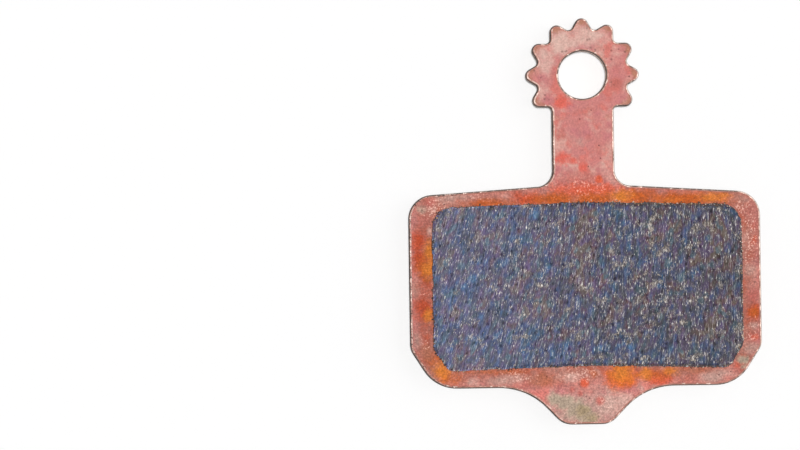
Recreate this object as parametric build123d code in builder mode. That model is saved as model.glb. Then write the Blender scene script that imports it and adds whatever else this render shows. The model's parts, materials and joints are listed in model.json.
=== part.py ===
from build123d import *
import os
from math import cos, radians, sin, tan

# Bicycle disc brake pad: a blanked steel plate with a toothed eye for the retaining pin, and a
# sintered friction lining that is keyed through four holes in the plate. The pad lies on the
# plate's back face, with the friction face up. X runs across the pad and +Y points to the eye.
# Lengths are in millimetres and angles in degrees. A drop is a distance down from the pin hole.

# Plate blank
plate_width = 29.5
plate_thickness = 1.8
die_roll = 0.35  # rounding that the die leaves round the back face
hole_flare = 0.3  # bevel round the holes in the back face
edge_break = 0.08  # small break on the edges of the front face

# Toothed eye
pin_hole_diameter = 4.0
eye_tip_radius = 4.75
tooth_pitch = 30.0
tooth_angle = 60.0
teeth_each_side = 4  # besides the tooth at the top
tooth_tip_round = 0.57
tooth_root_round = 0.37

# Neck and shoulders
neck_width = 5.2
neck_round = 1.35
shoulder_drop = 9.08  # where the two shoulder lines meet on the centre line
shoulder_angle = 3.6
shoulder_round = 2.05

# Bevelled lower corners
foot_drop = 26.15
bevel_width = 2.1
bevel_height = 3.3
bevel_top_round = 1.5
bevel_foot_round = 3.3

# Pull tab below the foot
tab_drop = 29.3
tab_root_width = 9.94
tab_end_width = 3.96
tab_root_round = 5.6
tab_end_round = 1.7

# Keying holes and the plugs of lining in them
key_hole_diameter = 4.5
key_spacing_x = 17.9
key_spacing_y = 6.65
key_drop = 17.95
plug_recess = 0.45  # from the back face down to the plug's end
plug_end_break = 0.3

# Friction lining
lining_thickness = 2.1
lining_side_margin = 1.85  # plate left bare beside the lining
lining_offset = 0.15  # the lining sits this much towards +X
lining_top_margin = 1.61  # plate left bare between the shoulders and the lining
lining_foot_margin = 1.86
lining_top_crown = 0.34
lining_foot_arch = 0.32
lining_crown_round = 60.0
lining_top_round = 1.7
lining_bevel_width = 1.2
lining_bevel_round = 0.8
lining_edge_break = 0.15

# Heights from the middle of the pad
pin_y = (tab_drop - eye_tip_radius) / 2
foot_y = pin_y - foot_drop
tab_y = pin_y - tab_drop
key_y = pin_y - key_drop


def shoulder_y(x):
    """Height of the sloping shoulder line at a distance x from the centre line."""
    return pin_y - shoulder_drop - x * tan(radians(shoulder_angle))


def eye_point(radius, angle):
    """Point of the eye at a radius from the pin hole and an angle from +X."""
    return (radius * cos(radians(angle)), pin_y + radius * sin(radians(angle)))


# The tooth flanks meet at an apex, before the tip is rounded, and at a root, before it is filleted
half_tooth = tooth_angle / 2
apex_radius = eye_tip_radius + tooth_tip_round * (1 / sin(radians(half_tooth)) - 1)
root_radius = apex_radius * sin(radians(half_tooth)) / sin(radians(half_tooth + tooth_pitch / 2))

# The lowest tooth's under flank runs into the side of the neck
lowest_tooth = 90 - teeth_each_side * tooth_pitch
lowest_x, lowest_y = eye_point(apex_radius, lowest_tooth)
neck_top_y = lowest_y + (neck_width / 2 - lowest_x) * tan(radians(lowest_tooth + half_tooth))

# Corners up the right-hand side, from the tab to the root beside the top tooth, with their roundings
half_width = plate_width / 2
side_corners = [
    ((tab_end_width / 2, tab_y), tab_end_round),
    ((tab_root_width / 2, foot_y), tab_root_round),
    ((half_width - bevel_width, foot_y), bevel_foot_round),
    ((half_width, foot_y + bevel_height), bevel_top_round),
    ((half_width, shoulder_y(half_width)), shoulder_round),
    ((neck_width / 2, shoulder_y(neck_width / 2)), neck_round),
    ((neck_width / 2, neck_top_y), tooth_root_round),
]
for tooth in range(teeth_each_side):
    tooth_at = lowest_tooth + tooth * tooth_pitch
    side_corners.append((eye_point(apex_radius, tooth_at), tooth_tip_round))
    side_corners.append((eye_point(root_radius, tooth_at + tooth_pitch / 2), tooth_root_round))

top_tooth = [(eye_point(apex_radius, 90), tooth_tip_round)]
mirrored_corners = [((-x, y), rounding) for (x, y), rounding in reversed(side_corners)]
plate_corners = side_corners + top_tooth + mirrored_corners

with BuildPart() as backing_plate:
    with BuildSketch():
        with BuildLine():
            FilletPolyline(
                [point for point, rounding in plate_corners],
                radius=[rounding for point, rounding in plate_corners],
                close=True,
            )
        make_face()
        with Locations((0, pin_y)):
            Circle(pin_hole_diameter / 2, mode=Mode.SUBTRACT)
        with Locations((0, key_y)):
            with GridLocations(key_spacing_x, key_spacing_y, 2, 2):
                Circle(key_hole_diameter / 2, mode=Mode.SUBTRACT)
    extrude(amount=plate_thickness)
    # The back face met the die first: its outline is rolled over, and its holes are flared
    back_face = backing_plate.faces().sort_by(Axis.Z)[0]
    back_rims = back_face.inner_wires()
    fillet(back_face.outer_wire().edges(), radius=die_roll)
    chamfer(back_rims.edges(), length=hole_flare)
    # On the front face the outline and the pin hole are broken, and the keying holes stay sharp
    front_face = backing_plate.faces().sort_by(Axis.Z)[-1]
    front_rims = front_face.inner_wires().sort_by(Axis.Y)
    chamfer(front_face.outer_wire().edges() + front_rims[-1].edges(), length=edge_break)

backing_plate.part.label = "backing_plate"

# The lining follows the plate's sides, bevels and foot at its margins
lining_half = half_width - lining_side_margin
lining_top_y = pin_y - shoulder_drop - lining_top_margin
lining_foot_y = foot_y + lining_foot_margin
lining_heel_y = lining_foot_y - lining_foot_arch
lining_bevel_height = lining_bevel_width * bevel_height / bevel_width
lining_side_corners = [
    ((lining_half - lining_bevel_width, lining_heel_y), lining_bevel_round),
    ((lining_half, lining_heel_y + lining_bevel_height), lining_bevel_round),
    ((lining_half, lining_top_y - lining_top_crown), lining_top_round),
]
lining_corners = (
    [((0, lining_foot_y), lining_crown_round)]
    + lining_side_corners
    + [((0, lining_top_y), lining_crown_round)]
    + [((-x, y), rounding) for (x, y), rounding in reversed(lining_side_corners)]
)

with BuildPart() as friction_lining:
    with BuildSketch(Plane.XY.offset(plate_thickness)):
        with BuildLine():
            FilletPolyline(
                [(x + lining_offset, y) for (x, y), rounding in lining_corners],
                radius=[rounding for point, rounding in lining_corners],
                close=True,
            )
        make_face()
    extrude(amount=lining_thickness)
    chamfer(friction_lining.faces().sort_by(Axis.Z)[-1].edges(), length=lining_edge_break)
    # Plugs of lining fill the keying holes from the front face to a little short of the back
    with BuildSketch(Plane.XY.offset(plug_recess)):
        with Locations((0, key_y)):
            with GridLocations(key_spacing_x, key_spacing_y, 2, 2):
                Circle(key_hole_diameter / 2)
    extrude(amount=plate_thickness - plug_recess)
    plug_ends = friction_lining.faces().filter_by(Axis.Z).group_by(Axis.Z)[0]
    chamfer(plug_ends.edges(), length=plug_end_break)

friction_lining.part.label = "friction_lining"

os.makedirs("parts", exist_ok=True)
export_step(backing_plate.part, "parts/backing_plate.step")
export_step(friction_lining.part, "parts/friction_lining.step")
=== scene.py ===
"""Looks of a bicycle disc brake pad that lies on its back.

The steel backing plate keeps its solid and is dressed: copper flash with heat stains in front, a
deburred edge, a sheared wall, and grey paint with a black grained field behind. A thin burr lines its
front edge. The sintered lining is a new surface, ground in one direction, with a crumbled rim and four
rough plugs, and loose grains of it stick along its rim.
"""
import json
import logging
import math
from dataclasses import dataclass
from enum import Enum
from typing import Any, Optional, Union

import bpy
import numpy as np
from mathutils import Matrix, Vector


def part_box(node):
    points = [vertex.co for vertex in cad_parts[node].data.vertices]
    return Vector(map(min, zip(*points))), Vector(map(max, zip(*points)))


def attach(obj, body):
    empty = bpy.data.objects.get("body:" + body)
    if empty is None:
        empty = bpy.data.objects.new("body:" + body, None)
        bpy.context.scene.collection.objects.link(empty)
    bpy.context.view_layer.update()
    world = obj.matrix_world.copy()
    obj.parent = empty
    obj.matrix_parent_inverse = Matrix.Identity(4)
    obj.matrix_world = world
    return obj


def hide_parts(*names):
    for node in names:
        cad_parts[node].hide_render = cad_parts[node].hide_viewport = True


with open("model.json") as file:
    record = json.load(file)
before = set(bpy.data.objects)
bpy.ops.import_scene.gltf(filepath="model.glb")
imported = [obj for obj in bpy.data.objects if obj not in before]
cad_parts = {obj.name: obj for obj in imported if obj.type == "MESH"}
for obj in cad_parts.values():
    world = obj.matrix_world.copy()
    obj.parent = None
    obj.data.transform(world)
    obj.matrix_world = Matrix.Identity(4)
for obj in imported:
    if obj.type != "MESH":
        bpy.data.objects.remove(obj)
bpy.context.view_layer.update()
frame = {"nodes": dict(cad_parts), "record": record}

Array = np.ndarray
Colour = tuple[float, float, float]
Value = Union[float, tuple, "Signal"]

MM = 0.001
BODY = "root"
PLATE_NODE = "backing_plate"
LINING_NODE = "friction_lining"
PIN_MOUNT = "pin_hole"
# Width and height of the plate's broken front edge, in millimetres.
EDGE_BREAK = 0.08

log = logging.getLogger("brake_pad")


def srgb(red: int, green: int, blue: int) -> Colour:
    """Turns a screen colour into the linear one that shaders use.

    Args:
        red: Screen red, 0 to 255.
        green: Screen green, 0 to 255.
        blue: Screen blue, 0 to 255.

    Returns:
        The linear colour, each part c / 12.92 below 0.04045 and ((c + 0.055) / 1.055) ** 2.4 above.
    """
    parts = np.array([red, green, blue]) / 255.0
    linear = np.where(parts <= 0.04045, parts / 12.92, ((parts + 0.055) / 1.055) ** 2.4)
    return tuple(float(part) for part in linear)


class Signal:
    """A value on a node's output socket, with the arithmetic that Math nodes do."""

    def __init__(self, sheet: "Sheet", socket: bpy.types.NodeSocket) -> None:
        """Keeps the sheet that makes the nodes, and the socket."""
        self.sheet = sheet
        self.socket = socket

    def _math(self, operation: str, first: Value, second: Value = 0.0) -> "Signal":
        """Adds one Math node on two values."""
        return self.sheet.node("ShaderNodeMath", {"operation": operation}, {0: first, 1: second})

    def __add__(self, other: Value) -> "Signal":
        """Sum."""
        return self._math("ADD", self, other)

    def __sub__(self, other: Value) -> "Signal":
        """Difference."""
        return self._math("SUBTRACT", self, other)

    def __rsub__(self, other: Value) -> "Signal":
        """Difference with this value taken away."""
        return self._math("SUBTRACT", other, self)

    def __mul__(self, other: Value) -> "Signal":
        """Product."""
        return self._math("MULTIPLY", self, other)

    def __abs__(self) -> "Signal":
        """Size without sign."""
        return self._math("ABSOLUTE", self)

    def __or__(self, other: Value) -> "Signal":
        """Larger of two values, which joins masks."""
        return self._math("MAXIMUM", self, other)

    def __and__(self, other: Value) -> "Signal":
        """Smaller of two values, which keeps what both masks cover."""
        return self._math("MINIMUM", self, other)


class Sheet:
    """A node tree, and the few ways in which its nodes are made."""

    MIX_FIRST = 6
    MIX_SECOND = 7
    MIX_COLOUR = 2

    def __init__(self, tree: bpy.types.NodeTree) -> None:
        """Starts from an empty tree."""
        tree.nodes.clear()
        self.tree = tree

    def node(
        self,
        kind: str,
        settings: Optional[dict[str, Any]] = None,
        inputs: Optional[dict[Union[str, int], Value]] = None,
        output: Union[str, int] = 0,
    ) -> Signal:
        """Adds one node.

        Args:
            kind: The node's Blender type.
            settings: Its settings, with a ramp's stops under "stops" as (place, colour) pairs.
            inputs: Numbers, colours or signals for its sockets, by name or place.
            output: The socket that is handed back, by name or place.

        Returns:
            The chosen output, or the node's first input where it has no output.
        """
        made = self.tree.nodes.new(kind)
        for name, value in (settings or {}).items():
            if name == "stops":
                self._set_stops(made.color_ramp, value)
            else:
                setattr(made, name, value)
        for key, value in (inputs or {}).items():
            if isinstance(value, Signal):
                self.tree.links.new(value.socket, made.inputs[key])
            elif isinstance(value, tuple) and made.inputs[key].type == "RGBA":
                made.inputs[key].default_value = (*value, 1.0)
            else:
                made.inputs[key].default_value = value
        return Signal(self, made.outputs[output] if made.outputs else made.inputs[0])

    @staticmethod
    def _set_stops(ramp: bpy.types.ColorRamp, stops: list[tuple[float, Colour]]) -> None:
        """Gives a colour ramp its stops.

        Args:
            ramp: The ramp, which starts with two.
            stops: Places along it and their colours, in order.
        """
        while len(ramp.elements) < len(stops):
            ramp.elements.new(1.0)
        for element, (place, colour) in zip(ramp.elements, stops):
            element.position = place
            element.color = (*colour, 1.0)

    def place(self) -> Signal:
        """Object coordinates in millimetres."""
        metres = self.node("ShaderNodeTexCoord", output="Object")
        return self.node("ShaderNodeVectorMath", {"operation": "SCALE"}, {0: metres, "Scale": 1.0 / MM})

    def axes(self, place: Signal) -> tuple[Signal, Signal, Signal]:
        """The three parts of a vector."""
        split = self.node("ShaderNodeSeparateXYZ", inputs={0: place}).socket.node
        return tuple(Signal(self, socket) for socket in split.outputs)

    def grain(self, place: Signal, size: tuple[float, float, float]) -> Signal:
        """Coordinates of a pattern whose features have the given sizes: place / size."""
        return self.vector("DIVIDE", place, size)

    def noise(self, place: Signal, scale: float, detail: float = 2.0, rough: float = 0.5) -> Signal:
        """Smooth noise about 0.5 with `scale` features to a unit of length."""
        values = {"Vector": place, "Scale": scale, "Detail": detail, "Roughness": rough}
        return self.node("ShaderNodeTexNoise", None, values)

    def cells(self, place: Signal, scale: float) -> Signal:
        """Distance, in cells, to the nearest of scattered points, with `scale` cells to a unit of length."""
        return self.node("ShaderNodeTexVoronoi", None, {"Vector": place, "Scale": scale})

    def mark(self, name: str) -> Signal:
        """A value that the mesh keeps at its corners."""
        return self.node("ShaderNodeAttribute", {"attribute_name": name}, None, "Fac")

    def vector(self, operation: str, *values: Value, output: Union[str, int] = 0) -> Signal:
        """One Vector Math node on one to three vectors."""
        return self.node("ShaderNodeVectorMath", {"operation": operation}, dict(enumerate(values)), output)

    def streaks(
        self, lines: Signal, size: tuple[float, float], detail: float = 1.0, rough: float = 0.5
    ) -> Signal:
        """Noise whose features have the given width and length along a set of lines."""
        return self.noise(self.grain(lines, (*size, 1.0)), 1.0, detail, rough)

    @staticmethod
    def beyond(x: Signal, y: Signal, low: tuple[float, float], high: tuple[float, float]) -> Signal:
        """How far a place lies outside an upright rectangle: the larger of |x - middle| - half for x and y.

        Args:
            x: Places across, in millimetres.
            y: Places along.
            low: The rectangle's lowest corner.
            high: Its highest corner.

        Returns:
            The distance, below 0 inside.
        """
        aside = abs(x - (low[0] + high[0]) / 2.0) - (high[0] - low[0]) / 2.0
        ahead = abs(y - (low[1] + high[1]) / 2.0) - (high[1] - low[1]) / 2.0
        return aside | ahead

    def step(self, value: Signal, start: float, end: float, top: float = 1.0) -> Signal:
        """Smooth step from 0 at `start` to `top` at `end`."""
        values = {"Value": value, "From Min": start, "From Max": end, "To Min": 0.0, "To Max": top}
        return self.node("ShaderNodeMapRange", {"interpolation_type": "SMOOTHSTEP"}, values)

    def mix(self, mask: Value, first: Value, second: Value) -> Signal:
        """Colour that goes from the first to the second as the mask goes from 0 to 1."""
        values = {0: mask, self.MIX_FIRST: first, self.MIX_SECOND: second}
        return self.node("ShaderNodeMix", {"data_type": "RGBA"}, values, self.MIX_COLOUR)

    def shade(self, colour: Value, factor: Signal) -> Signal:
        """Colour multiplied by a grey level.

        Args:
            colour: The colour.
            factor: The grey level, where 1 changes nothing.

        Returns:
            The darker or lighter colour.
        """
        grey = self.node("ShaderNodeCombineColor", None, {0: factor, 1: factor, 2: factor})
        settings = {"data_type": "RGBA", "blend_type": "MULTIPLY"}
        values = {0: 1.0, self.MIX_FIRST: colour, self.MIX_SECOND: grey}
        return self.node("ShaderNodeMix", settings, values, self.MIX_COLOUR)

    def lift(self, colour: Value, amount: Signal) -> Signal:
        """A colour with the same amount of light added to its three parts."""
        return self.vector("ADD", colour, amount)

    def ramp(self, value: Signal, stops: list[tuple[float, Colour]]) -> Signal:
        """Colour of a value along a row of stops."""
        return self.node("ShaderNodeValToRGB", {"stops": stops}, {0: value})

    def warp(self, place: Signal, scale: float, reach: float) -> Signal:
        """The place pushed about by noise: place + (noise - 0.5) * 2 * reach.

        Args:
            place: Coordinates in millimetres.
            scale: Features of the noise to a millimetre.
            reach: The longest push.

        Returns:
            The pushed coordinates.
        """
        drift = self.node("ShaderNodeTexNoise", None, {"Vector": place, "Scale": scale}, "Color")
        pushed = self.vector("MULTIPLY_ADD", drift, (2.0 * reach,) * 3, place)
        return self.vector("SUBTRACT", pushed, (reach,) * 3)


@dataclass(frozen=True)
class Skin:
    """What a finish gives a surface: colour, roughness, share of metal and height in millimetres."""

    colour: Signal
    roughness: Value
    metal: Value
    height: Signal

    def under(self, upper: "Skin", mask: Signal) -> "Skin":
        """Lays another finish over this one.

        Args:
            upper: The finish on top.
            mask: 1 where the upper finish covers this one.

        Returns:
            The joined finish, each value a + (b - a) * mask.
        """
        sheet = mask.sheet
        return Skin(
            sheet.mix(mask, self.colour, upper.colour),
            mask * (upper.roughness - self.roughness) + self.roughness,
            mask * (upper.metal - self.metal) + self.metal,
            mask * (upper.height - self.height) + self.height,
        )


def material_of(name: str) -> tuple[bpy.types.Material, Sheet]:
    """Makes an empty material.

    Args:
        name: The material's name.

    Returns:
        The material, and the sheet for its nodes.
    """
    material = bpy.data.materials.new(name)
    material.use_nodes = True
    return material, Sheet(material.node_tree)


def close_material(sheet: Sheet, skin: Skin, specular: float = 0.5) -> None:
    """Ends a material with one Principled shader.

    Args:
        sheet: The material's nodes.
        skin: The finished surface, whose height feeds a Bump node.
        specular: The shader's specular level.
    """
    relief = {"Strength": 1.0, "Distance": MM, "Height": skin.height}
    bump = sheet.node("ShaderNodeBump", None, relief, "Normal")
    values = {
        "Base Color": skin.colour,
        "Roughness": skin.roughness,
        "Metallic": skin.metal,
        "Normal": bump,
        "Specular IOR Level": specular,
    }
    shader = sheet.node("ShaderNodeBsdfPrincipled", None, values)
    sheet.node("ShaderNodeOutputMaterial", None, {"Surface": shader})


class Tone(Enum):
    """Colours that heat and handling leave on the copper flash; the palest also stands for painted glints."""

    ASH = srgb(186, 146, 135)
    CREAM = srgb(212, 176, 164)
    ROSE = srgb(188, 104, 94)
    CORAL = srgb(212, 100, 86)
    RED = srgb(208, 92, 64)
    EMBER = srgb(190, 76, 42)
    ORANGE = srgb(188, 90, 34)
    FLAME = srgb(216, 104, 36)
    AMBER = srgb(212, 122, 46)
    SMOKE = srgb(174, 106, 82)
    TAN = srgb(176, 155, 136)
    OLIVE = srgb(162, 141, 112)
    FROST_AND_GLINT = srgb(236, 198, 184)

    def fade(self) -> float:
        """How far in from the rim a stain of this tone reaches its full strength, in half sizes."""
        return 0.6 if self in (Tone.CORAL, Tone.RED, Tone.TAN, Tone.OLIVE) else 0.9


@dataclass(frozen=True)
class Stain:
    """An oval stain on the plate's front: middle and half sizes in millimetres, tone, strength."""

    x: float
    y: float
    wide: float
    tall: float
    tone: Tone
    strength: float

    FAINT_LIFT = 1.05
    FULL_DROP = 0.45
    BOLD_FROM = 0.6
    BOLD_DROP = 0.9

    def lift(self) -> float:
        """How far the oval's middle stands off the plate: the weaker the stain, the farther.

        Returns:
            The distance in half sizes. It falls with the place where a smooth step from 0 to 1 reaches
            the strength, 0.5 - sin(asin(1 - 2 * strength) / 3), and falls more for bold stains.
        """
        place = 0.5 - math.sin(math.asin(1.0 - 2.0 * self.strength) / 3.0)
        bold = max(0.0, self.strength - self.BOLD_FROM)
        return self.FAINT_LIFT - self.FULL_DROP * place - self.BOLD_DROP * bold


# Stains of each part of the front, seen with the eye up.
EYE_STAINS = (
    Stain(-1.7, 15.0, 2.0, 1.6, Tone.CREAM, 0.95),
    Stain(0.6, 15.6, 2.2, 1.4, Tone.CREAM, 0.9),
    Stain(-3.2, 13.6, 1.4, 1.8, Tone.CREAM, 0.85),
    Stain(-3.4, 11.0, 1.2, 1.2, Tone.CREAM, 0.65),
    Stain(-1.7, 10.05, 1.1, 0.9, Tone.CORAL, 0.85),
    Stain(2.9, 11.5, 0.9, 0.8, Tone.ROSE, 0.9),
    Stain(2.9, 12.9, 0.8, 1.1, Tone.ROSE, 0.6),
    Stain(1.6, 14.6, 1.0, 0.6, Tone.ROSE, 0.6),
    Stain(-2.3, 12.4, 0.5, 1.0, Tone.ROSE, 0.7),
    Stain(-3.7, 12.6, 0.5, 0.9, Tone.ROSE, 0.5),
    Stain(0.2, 9.2, 1.6, 0.6, Tone.ROSE, 0.6),
)
NECK_STAINS = (
    Stain(-1.8, 5.3, 0.95, 0.9, Tone.CORAL, 0.85),
    Stain(-0.8, 5.1, 0.6, 0.5, Tone.CORAL, 0.75),
    Stain(0.0, 4.6, 0.6, 0.6, Tone.CORAL, 0.8),
    Stain(-1.85, 7.25, 0.75, 0.85, Tone.ROSE, 0.8),
    Stain(0.4, 7.1, 0.45, 0.45, Tone.ROSE, 0.7),
    Stain(1.4, 6.2, 1.2, 1.2, Tone.ROSE, 0.4),
    Stain(-0.4, 6.8, 1.6, 1.0, Tone.ASH, 0.5),
    Stain(1.3, 3.45, 0.45, 0.45, Tone.RED, 1.0),
    Stain(0.0, 3.3, 3.2, 1.5, Tone.ROSE, 0.9),
    Stain(0.2, 2.6, 4.6, 0.9, Tone.RED, 0.85),
)
SHOULDER_STAINS = (
    Stain(-12.95, 1.75, 0.75, 0.6, Tone.ROSE, 0.95),
    Stain(-13.65, 1.2, 0.9, 0.9, Tone.TAN, 0.55),
    Stain(-11.1, 2.2, 2.4, 0.8, Tone.ASH, 0.85),
    Stain(-8.0, 1.6, 2.9, 0.55, Tone.ORANGE, 0.9),
    Stain(-5.5, 2.3, 0.9, 0.6, Tone.EMBER, 0.75),
    Stain(-4.6, 1.9, 1.8, 0.7, Tone.EMBER, 0.95),
    Stain(-2.4, 1.85, 2.7, 0.8, Tone.ORANGE, 1.0),
    Stain(0.8, 1.85, 2.7, 0.75, Tone.ORANGE, 1.0),
    Stain(4.6, 1.9, 2.4, 1.0, Tone.ORANGE, 1.0),
    Stain(3.15, 2.1, 1.3, 0.7, Tone.AMBER, 0.95),
    Stain(8.2, 1.65, 5.0, 0.95, Tone.ORANGE, 1.0),
    Stain(7.0, 2.6, 4.8, 0.5, Tone.ROSE, 0.75),
    Stain(10.95, 1.9, 1.7, 0.65, Tone.AMBER, 0.9),
    Stain(7.2, 1.6, 1.6, 0.45, Tone.AMBER, 0.6),
    Stain(13.1, 1.7, 1.2, 0.8, Tone.ASH, 0.6),
    Stain(13.7, 0.6, 1.1, 1.2, Tone.ROSE, 0.7),
)
LEFT_STAINS = (
    Stain(-13.4, 0.2, 0.9, 0.9, Tone.ROSE, 0.75),
    Stain(-13.5, -4.6, 1.3, 5.8, Tone.EMBER, 0.7),
    Stain(-12.95, -0.6, 0.45, 0.6, Tone.CREAM, 0.75),
    Stain(-13.9, -1.6, 1.1, 1.5, Tone.EMBER, 1.0),
    Stain(-13.75, -3.0, 1.2, 1.7, Tone.EMBER, 1.0),
    Stain(-13.4, -3.75, 1.0, 1.2, Tone.ORANGE, 1.0),
    Stain(-13.05, -2.3, 0.7, 1.2, Tone.AMBER, 1.0),
    Stain(-13.1, -3.8, 0.7, 1.1, Tone.AMBER, 1.0),
    Stain(-14.15, -5.5, 0.6, 0.9, Tone.ASH, 0.9),
    Stain(-13.3, -5.7, 0.8, 1.0, Tone.EMBER, 0.6),
    Stain(-13.5, -7.2, 1.2, 1.4, Tone.EMBER, 1.0),
    Stain(-13.15, -7.7, 0.6, 0.8, Tone.AMBER, 0.95),
    Stain(-13.5, -8.8, 0.9, 0.9, Tone.EMBER, 0.7),
    Stain(-14.1, -9.8, 0.65, 0.95, Tone.ASH, 0.85),
    Stain(-13.4, -10.9, 0.9, 0.9, Tone.SMOKE, 0.9),
    Stain(-12.8, -11.4, 1.0, 1.1, Tone.ORANGE, 0.85),
    Stain(-12.15, -12.3, 1.0, 1.0, Tone.AMBER, 1.0),
)
FOOT_STAINS = (
    Stain(-11.4, -13.0, 1.7, 0.9, Tone.ORANGE, 0.85),
    Stain(-13.5, -9.6, 1.0, 2.0, Tone.EMBER, 0.6),
    Stain(-9.45, -13.3, 0.8, 0.5, Tone.CREAM, 0.7),
    Stain(-6.8, -13.25, 2.2, 0.6, Tone.ASH, 0.85),
    Stain(-7.6, -12.5, 4.4, 0.4, Tone.ORANGE, 0.7),
    Stain(-5.05, -13.6, 0.75, 0.5, Tone.ROSE, 0.85),
    Stain(-5.9, -13.6, 0.5, 0.35, Tone.ROSE, 0.7),
    Stain(-3.5, -13.1, 1.1, 1.0, Tone.ORANGE, 0.6),
    Stain(-3.4, -13.45, 0.8, 0.7, Tone.EMBER, 0.7),
    Stain(-3.7, -13.3, 1.6, 0.8, Tone.SMOKE, 0.85),
    Stain(-1.6, -13.0, 1.6, 0.8, Tone.CREAM, 0.7),
    Stain(-0.2, -13.56, 0.52, 0.52, Tone.RED, 1.0),
    Stain(-1.2, -14.1, 0.35, 0.35, Tone.ROSE, 0.95),
    Stain(-0.55, -14.4, 0.35, 0.35, Tone.ROSE, 0.95),
    Stain(1.1, -15.05, 0.5, 0.5, Tone.ROSE, 1.0),
    Stain(0.65, -12.8, 0.6, 0.6, Tone.ORANGE, 0.7),
    Stain(2.9, -12.9, 2.1, 1.7, Tone.RED, 0.8),
    Stain(2.95, -13.2, 1.6, 1.3, Tone.FLAME, 1.0),
    Stain(3.0, -12.7, 1.35, 1.1, Tone.AMBER, 1.0),
    Stain(4.95, -12.9, 0.7, 0.9, Tone.AMBER, 0.9),
    Stain(6.0, -13.3, 2.1, 0.8, Tone.RED, 0.85),
    Stain(5.9, -12.9, 2.2, 0.7, Tone.ORANGE, 0.85),
    Stain(7.2, -12.65, 1.0, 0.6, Tone.AMBER, 0.85),
    Stain(9.4, -12.6, 1.9, 0.45, Tone.SMOKE, 0.8),
    Stain(10.6, -13.2, 1.6, 0.7, Tone.ASH, 0.95),
    Stain(0.5, -15.6, 4.2, 2.0, Tone.ASH, 1.0),
    Stain(2.2, -15.4, 2.2, 1.3, Tone.CREAM, 0.6),
    Stain(-1.6, -16.3, 2.2, 0.9, Tone.ASH, 1.0),
    Stain(-2.6, -14.9, 1.0, 0.7, Tone.TAN, 0.95),
    Stain(-1.8, -15.2, 1.2, 0.9, Tone.TAN, 1.0),
    Stain(-1.0, -15.7, 1.3, 1.05, Tone.TAN, 1.0),
    Stain(-0.3, -16.2, 1.2, 0.9, Tone.TAN, 1.0),
    Stain(0.1, -16.6, 1.0, 0.7, Tone.TAN, 0.9),
    Stain(-0.4, -15.9, 1.2, 0.8, Tone.OLIVE, 0.8),
    Stain(0.35, -16.5, 0.9, 0.7, Tone.OLIVE, 0.85),
    Stain(4.3, -14.6, 0.6, 0.55, Tone.ROSE, 0.8),
)
RIGHT_STAINS = (
    Stain(14.2, -0.3, 0.6, 0.9, Tone.ROSE, 0.75),
    Stain(14.15, -1.65, 0.7, 0.9, Tone.RED, 0.45),
    Stain(13.9, -4.3, 0.8, 0.9, Tone.ASH, 0.75),
    Stain(14.05, -6.4, 0.8, 0.9, Tone.ROSE, 0.9),
    Stain(14.1, -7.75, 0.95, 0.95, Tone.EMBER, 1.0),
    Stain(14.1, -7.8, 0.7, 0.7, Tone.ORANGE, 0.9),
    Stain(14.1, -8.95, 0.6, 0.5, Tone.ASH, 0.8),
    Stain(13.95, -9.95, 0.75, 0.55, Tone.ROSE, 0.85),
    Stain(13.7, -10.8, 1.1, 0.8, Tone.ASH, 0.8),
    Stain(12.6, -12.5, 1.5, 1.0, Tone.ROSE, 0.75),
    Stain(13.15, -11.8, 0.8, 0.55, Tone.TAN, 0.85),
    Stain(13.2, -12.4, 0.5, 0.4, Tone.TAN, 0.7),
    Stain(12.65, -12.2, 0.5, 0.5, Tone.RED, 0.7),
    Stain(14.2, -9.9, 0.55, 0.45, Tone.RED, 0.7),
    Stain(11.9, -12.8, 1.2, 0.7, Tone.CREAM, 0.7),
    Stain(11.9, -13.25, 0.8, 0.5, Tone.ROSE, 0.7),
)
STAINS = EYE_STAINS + NECK_STAINS + SHOULDER_STAINS + LEFT_STAINS + FOOT_STAINS + RIGHT_STAINS

# Places where pale scale and painted glints lie thickest.
FROST_AND_GLINT_SPOTS = (
    Stain(0.0, 2.9, 2.8, 1.5, Tone.FROST_AND_GLINT, 0.8),
    Stain(13.9, -1.5, 1.0, 4.0, Tone.FROST_AND_GLINT, 0.9),
    Stain(13.9, -9.6, 1.0, 2.0, Tone.FROST_AND_GLINT, 0.8),
    Stain(-5.6, -13.0, 2.2, 0.8, Tone.FROST_AND_GLINT, 0.9),
    Stain(-0.6, -12.8, 2.4, 0.9, Tone.FROST_AND_GLINT, 1.0),
    Stain(2.0, -15.3, 2.4, 1.6, Tone.FROST_AND_GLINT, 0.8),
    Stain(-12.4, 1.2, 1.5, 1.2, Tone.FROST_AND_GLINT, 1.0),
    Stain(-9.0, 2.1, 2.4, 0.7, Tone.FROST_AND_GLINT, 0.7),
    Stain(13.2, 0.9, 1.1, 1.2, Tone.FROST_AND_GLINT, 0.9),
    Stain(-13.6, -5.8, 0.9, 1.2, Tone.FROST_AND_GLINT, 0.7),
    Stain(-13.5, -10.0, 0.9, 1.6, Tone.FROST_AND_GLINT, 0.7),
)


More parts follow.
